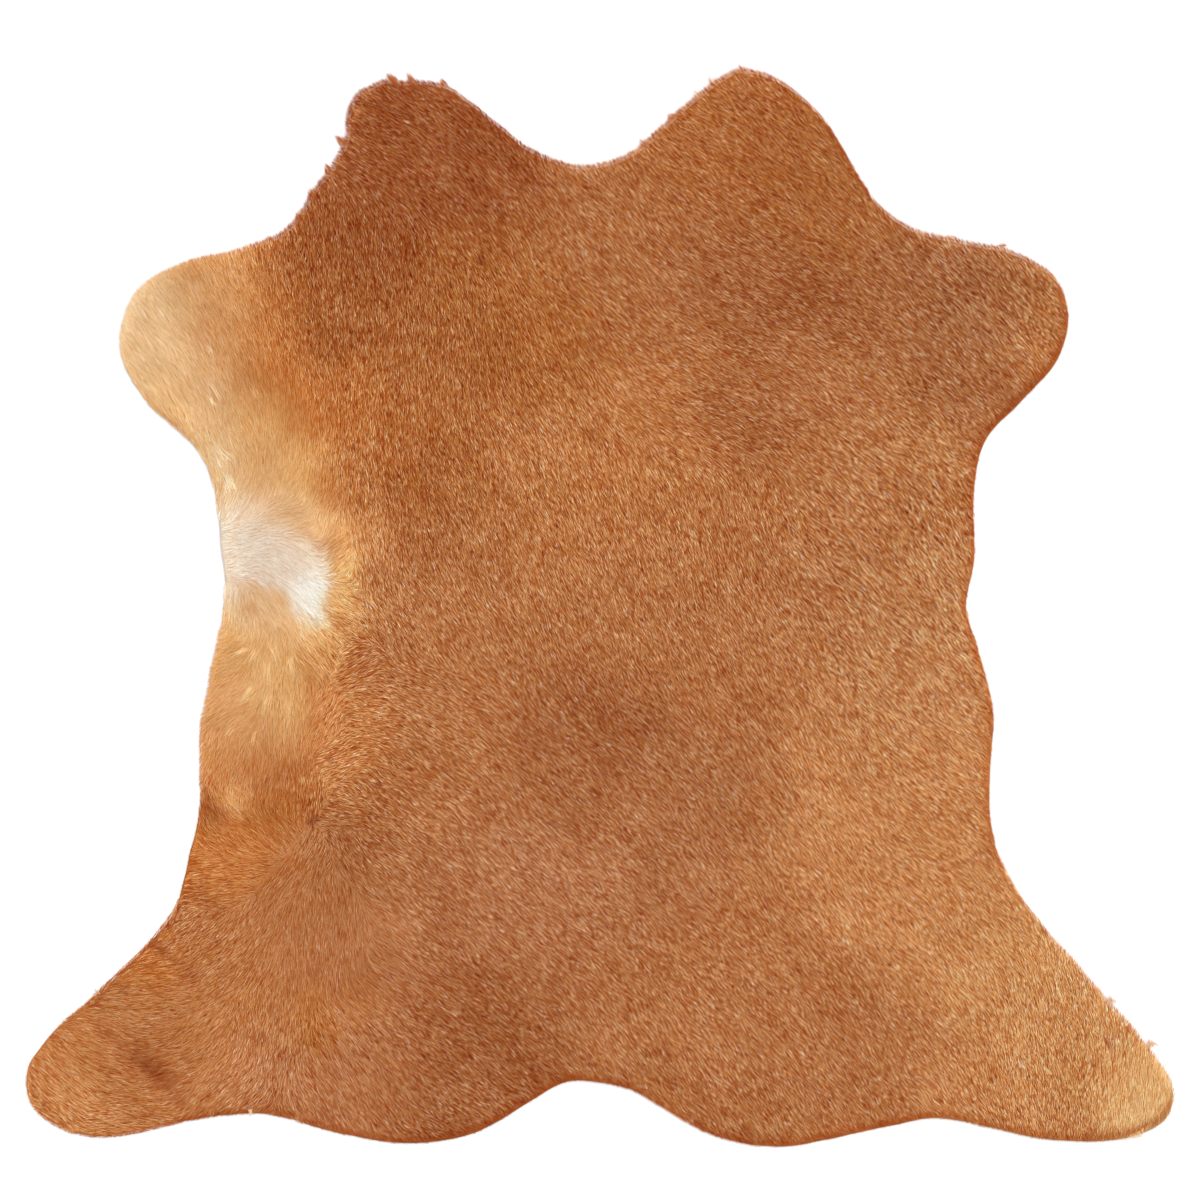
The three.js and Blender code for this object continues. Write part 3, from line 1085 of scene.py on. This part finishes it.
def coat_locks(chart, settings, skin_settings):
    """The locks of the whole coat."""
    rng = np.random.default_rng(settings.seed)
    x, y = root_places(chart, settings.spacing / MM, rng)
    count = len(x)
    locks = np.zeros(count, LOCK)
    locks["x"] = x
    locks["y"] = y
    out_x, out_y = chart.slope(x, y)
    flow_x, flow_y = over_edge(*hair_flow(x, y), chart.at(x, y), out_x, out_y)
    sway = 4 * soft_noise(x, y, 22, 21) + rng.normal(0, SCATTER, count)
    locks["turn"] = np.arctan2(flow_y, flow_x) + np.radians(sway)
    calm = calmness(x, y)
    locks["calm"] = calm
    longer = 1 + CALM_LENGTH * np.maximum(calm, 0)
    locks["length"] = settings.length / MM * rng.uniform(0.75, 1.25, count) * longer
    locks["width"] = settings.width / MM * rng.uniform(0.7, 1.4, count) * (1 - 0.2 * calm)
    outwards = np.maximum(0, flow_x * out_x + flow_y * out_y)
    reach = (skin_settings.inset + skin_settings.overhang * outwards) / MM
    locks["length"] = trimmed(locks, chart, reach, rng)
    away_x, away_y, chance = clumps(x, y, CLUMP, 23)
    sideways = -away_x * np.sin(locks["turn"]) + away_y * np.cos(locks["turn"])
    locks["bend"] = -settings.pull * sideways + rng.normal(0, 0.1, count)
    locks["lift"] = rng.uniform(0.5 + 0.2 * calm, 1, count) + 0.04 * (1 - calm) * chance
    locks["roll"] = rng.normal(0, 20, count) * (1 - 0.8 * calm)
    middle = CREASE_SHADE_AHEAD * locks["length"]
    crease_shade = crease_shade_strength(x + middle * flow_x, y + middle * flow_y)[:, None]
    ahead = COLOUR_AHEAD * locks["length"] + rng.normal(0, COLOUR_SCATTER, count)
    seen_x = x + ahead * flow_x
    seen_y = y + ahead * flow_y
    colour = coat_colour(seen_x, seen_y)
    colour += BLOTCH_AND_SHEEN * blotches_and_sheen(seen_x, seen_y)[:, None]
    colour += crease_shade * (np.array(PALETTE["rust"], float) - colour)
    streak = clumps(x, y, STREAK, 29)[2]
    tone = (rng.normal(0, 1, count) + 0.1 * chance) * (1 - 0.85 * calm) + 0.22 * calm * streak
    locks["colour"] = toned_with_sheen_and_shade(colour, settings.spread * tone, calm)
    return locks


def tuft_locks(tuft, settings, rng):
    """The longer locks of one tuft, drawn together towards its tip."""
    locks = np.zeros(tuft.locks, LOCK)
    turn = math.radians(tuft.towards)
    side = rng.normal(0, tuft.apart, tuft.locks)
    back = rng.uniform(0.75, 1, tuft.locks) * tuft.length
    locks["x"] = tuft.x - math.cos(turn) * back - math.sin(turn) * side
    locks["y"] = tuft.y - math.sin(turn) * back + math.cos(turn) * side
    locks["turn"] = turn + np.radians(rng.normal(0, 5, tuft.locks))
    taper = 1.35 - 0.3 * np.minimum(np.abs(side) / tuft.apart, 2)
    locks["length"] = tuft.length * taper * rng.uniform(0.85, 1, tuft.locks)
    locks["width"] = settings.width / MM * rng.uniform(0.8, 1.4, tuft.locks)
    locks["bend"] = -0.55 * side if tuft.length > 6 else 0
    locks["lift"] = rng.uniform(0.8, 1.15, tuft.locks)
    locks["roll"] = rng.normal(0, 15, tuft.locks)
    tone = rng.normal(0.3, 1, tuft.locks)
    colour = coat_colour(locks["x"], locks["y"])
    if tuft.colour is not None:
        share = 1 if tuft.colour == "white" else TINT
        colour += share * (np.array(PALETTE[tuft.colour], float) - colour)
        locks["calm"] = 0.7
        tone *= 0.3
    locks["colour"] = toned_with_sheen_and_shade(colour, tone, locks["calm"])
    return locks


def lock_places(locks, chart, thickness, height):
    """The corners of every lock in millimetres: root, right side, tip and left side."""
    ahead_x = np.cos(locks["turn"])
    ahead_y = np.sin(locks["turn"])
    roll = np.radians(locks["roll"])
    half = locks["width"] / 2
    places = np.empty((len(locks), LOCK_VERTS, 3))
    ridge = 0.45 * half * (1 - 0.8 * locks["calm"])
    corners = ((0, 0), (WIDEST, -1), (1, 0), (WIDEST, 1))
    for corner, (along, side) in enumerate(corners):
        reach = along * locks["length"]
        aside = along * along * locks["bend"] + side * half * np.cos(roll)
        x = locks["x"] + ahead_x * reach - ahead_y * aside
        y = locks["y"] + ahead_y * reach + ahead_x * aside
        skin = skin_top(x, y, thickness)
        edge = chart.at(x, y)
        depth = np.maximum(coat_level(x, y, height) - skin, 0.6)
        depth *= np.clip(EDGE_HEIGHT + edge / RIM_SLOPE, EDGE_HEIGHT, 1)
        raised = (1 - (1 - along) ** ARCH) * locks["lift"] * depth
        droop = DROOP * np.clip(-edge, 0, 8)
        z = skin - ROOT_DEPTH * (along == 0) + raised - droop
        z += side * half * np.sin(roll) - abs(side) * ridge
        places[:, corner] = np.column_stack([x, y, np.maximum(z, LOWEST)])
    return places


def lock_colours(locks, chart):
    """The corners' colours: painted shade at roots and by the edges, painted highlight at tips.
    """
    edge = chart.at(locks["x"], locks["y"])
    out_x, out_y = chart.slope(locks["x"], locks["y"])
    facing = out_x * np.cos(locks["turn"]) + out_y * np.sin(locks["turn"])
    # painted shade along the edges that face lower right, where the coat rounds away and its
    # hair doesn't point outwards
    shaded_side = np.clip(out_x * SHADED_EDGE_SIDE[0] + out_y * SHADED_EDGE_SIDE[1], 0, 1)
    edge_shade = np.exp(-np.maximum(edge, 0) / EDGE_SHADE_WIDTH) * np.clip(0.6 - facing, 0, 1) * shaded_side
    rust = np.array(PALETTE["rust"], float)
    own = locks["colour"] + EDGE_SHADE_SHARE * edge_shade[:, None] * (rust - locks["colour"])
    colours = np.empty((len(locks), LOCK_VERTS, 3))
    strength = (1 - 0.8 * locks["calm"])[:, None]
    inner = np.clip(edge / 4, 0, 1)[:, None]
    colours[:, 0] = own - strength * ROOT_SHADE * np.maximum(inner, 0.2)
    colours[:, 1] = own
    colours[:, 2] = own + strength * (TIP_HIGHLIGHT * inner - EDGE_TIP_SHADE * (1 - inner))
    colours[:, 3] = own
    return colours


def colour_cells(colours):
    """A bake map with a small cell for each lock, like colours side by side, row by row."""
    count = len(colours)
    across = math.ceil(math.sqrt(count))
    middle = colours[:, 1]
    paleness = np.argsort(np.argsort(middle[:, 2] - 0.3 * middle[:, 0], kind="stable"))
    row = paleness // across
    order = np.lexsort((middle[:, 1] * (1 - 2 * (row % 2)), row))
    cell = np.empty(count, int)
    cell[order] = np.arange(count)
    corner = np.column_stack([cell % across, cell // across])[:, None]
    return (corner + CELL_SHAPE) / across


def hair_colours(colours, calm, settings):
    """The hair's linear colours, brighter than the coat's by what the locks' shade takes."""
    gain = 1 + (np.array(settings.gain) - 1) * (1 - calm[:, None, None] ** 2)
    return np.minimum(linear(colours) ** settings.depth * gain, BRIGHTEST)


def lock_mesh(name, places, cells, colours, material):
    """A mesh of all the locks in one strip, each of one kite-shaped face."""
    count = len(places)
    corners = np.arange(count * LOCK_VERTS, dtype=np.int32)
    mesh = bpy.data.meshes.new(name)
    mesh.vertices.add(len(corners))
    mesh.vertices.foreach_set("co", (places * MM).ravel())
    mesh.loops.add(len(corners))
    mesh.loops.foreach_set("vertex_index", corners)
    mesh.polygons.add(count)
    mesh.polygons.foreach_set("loop_start", corners[::LOCK_VERTS])
    mesh.update(calc_edges=True)
    mesh.uv_layers.new(name="OFBake").uv.foreach_set("vector", cells.ravel())
    write_colours(mesh, colours.reshape(-1, 3))
    mesh.materials.append(material)
    mesh.shade_smooth()
    return mesh


class RUG_OT_coat(bpy.types.Operator):
    """Make the lying coat in strips from the left legs to the right"""

    bl_idname = "rug.coat"
    bl_label = "Coat"

    def execute(self, context):
        settings = context.scene.rug_coat
        skin_settings = context.scene.rug_skin
        ring = skin_ring(skin_settings)
        chart = EdgeChart(ring)
        rng = np.random.default_rng(settings.seed + 1)
        tufts = [tuft_locks(tuft, settings, rng) for tuft in TUFTS]
        locks = np.concatenate([coat_locks(chart, settings, skin_settings), *tufts])
        locks = locks[np.argsort(locks["x"], kind="stable")]
        material = hair_material()
        thickness = skin_settings.thickness / MM
        for name, strip in zip(STRIPS, np.array_split(locks, len(STRIPS))):
            places = lock_places(strip, chart, thickness, settings.height / MM)
            shown = lock_colours(strip, chart)
            colours = hair_colours(shown, strip["calm"], settings)
            mesh = lock_mesh(name, places, colour_cells(shown), colours, material)
            piece = new_object(name, mesh)
            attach(piece, "root")
        return {"FINISHED"}


KEY_PLACE = (650, 950, 2600)
KEY_SIZE = 24  # how wide the key light is seen, in degrees
VIEW_SHIFT = 6  # how far towards the neck the view's middle lies


def make_floor(settings):
    """The pale floor under the rug."""
    shape = bmesh.new()
    bmesh.ops.create_grid(shape, x_segments=1, y_segments=1, size=settings.floor_size / 2)
    mesh = bpy.data.meshes.new("floor")
    shape.to_mesh(mesh)
    shape.free()
    material, _, shader = new_material("pale floor", 0.9, 0.1)
    shader.inputs["Base Color"].default_value = (*settings.floor_colour, 1)
    mesh.materials.append(material)
    new_object("floor", mesh)


def make_key(settings):
    """A far, soft light across the hair, so that every lock has a lit and a shaded side."""
    data = bpy.data.lights.new("key light", "SUN")
    data.energy = settings.key
    data.angle = math.radians(KEY_SIZE)
    light = new_object("key light", data)
    light.location = [place * MM for place in KEY_PLACE]
    light.rotation_euler = (-light.location).to_track_quat("-Z", "Y").to_euler()


class RUG_OT_stage(bpy.types.Operator):
    """Make the floor, the lights and the camera straight above"""

    bl_idname = "rug.stage"
    bl_label = "Stage"

    def execute(self, context):
        settings = context.scene.rug_stage
        scene = context.scene
        make_floor(settings)
        make_key(settings)
        world = bpy.data.worlds.new("even light")
        world.use_nodes = True
        background = world.node_tree.nodes["Background"]
        background.inputs["Color"].default_value = (1, 1, 1, 1)
        background.inputs["Strength"].default_value = settings.sky
        scene.world = world
        scene.view_settings.view_transform = "Standard"
        data = bpy.data.cameras.new("camera")
        data.lens = data.sensor_width * settings.camera_height / settings.view_width
        data.clip_end = 100
        camera = new_object("camera", data)
        camera.location = (0, VIEW_SHIFT * MM, settings.camera_height)
        scene.camera = camera
        return {"FINISHED"}


class RUG_PT_panel(bpy.types.Panel):
    """The rug's sizes and colours, and a button for each step"""

    bl_idname = "RUG_PT_panel"
    bl_label = "Cowhide Rug"
    bl_space_type = "VIEW_3D"
    bl_region_type = "UI"
    bl_category = "Rug"

    def draw(self, context):
        steps = (
            (RUG_OT_skin, context.scene.rug_skin),
            (RUG_OT_coat, context.scene.rug_coat),
            (RUG_OT_stage, context.scene.rug_stage),
        )
        for operator, settings in steps:
            box = self.layout.box()
            for name in settings.__annotations__:
                box.prop(settings, name)
            box.operator(operator.bl_idname)


CLASSES = (
    SkinSettings,
    CoatSettings,
    StageSettings,
    RUG_OT_skin,
    RUG_OT_coat,
    RUG_OT_stage,
    RUG_PT_panel,
)


def register():
    for item in CLASSES:
        bpy.utils.register_class(item)
    bpy.types.Scene.rug_skin = PointerProperty(type=SkinSettings)
    bpy.types.Scene.rug_coat = PointerProperty(type=CoatSettings)
    bpy.types.Scene.rug_stage = PointerProperty(type=StageSettings)


def unregister():
    del bpy.types.Scene.rug_stage
    del bpy.types.Scene.rug_coat
    del bpy.types.Scene.rug_skin
    for item in reversed(CLASSES):
        bpy.utils.unregister_class(item)


def main():
    register()
    bpy.ops.rug.skin()
    bpy.ops.rug.coat()
    bpy.ops.rug.stage()


if __name__ == "__main__":
    main()
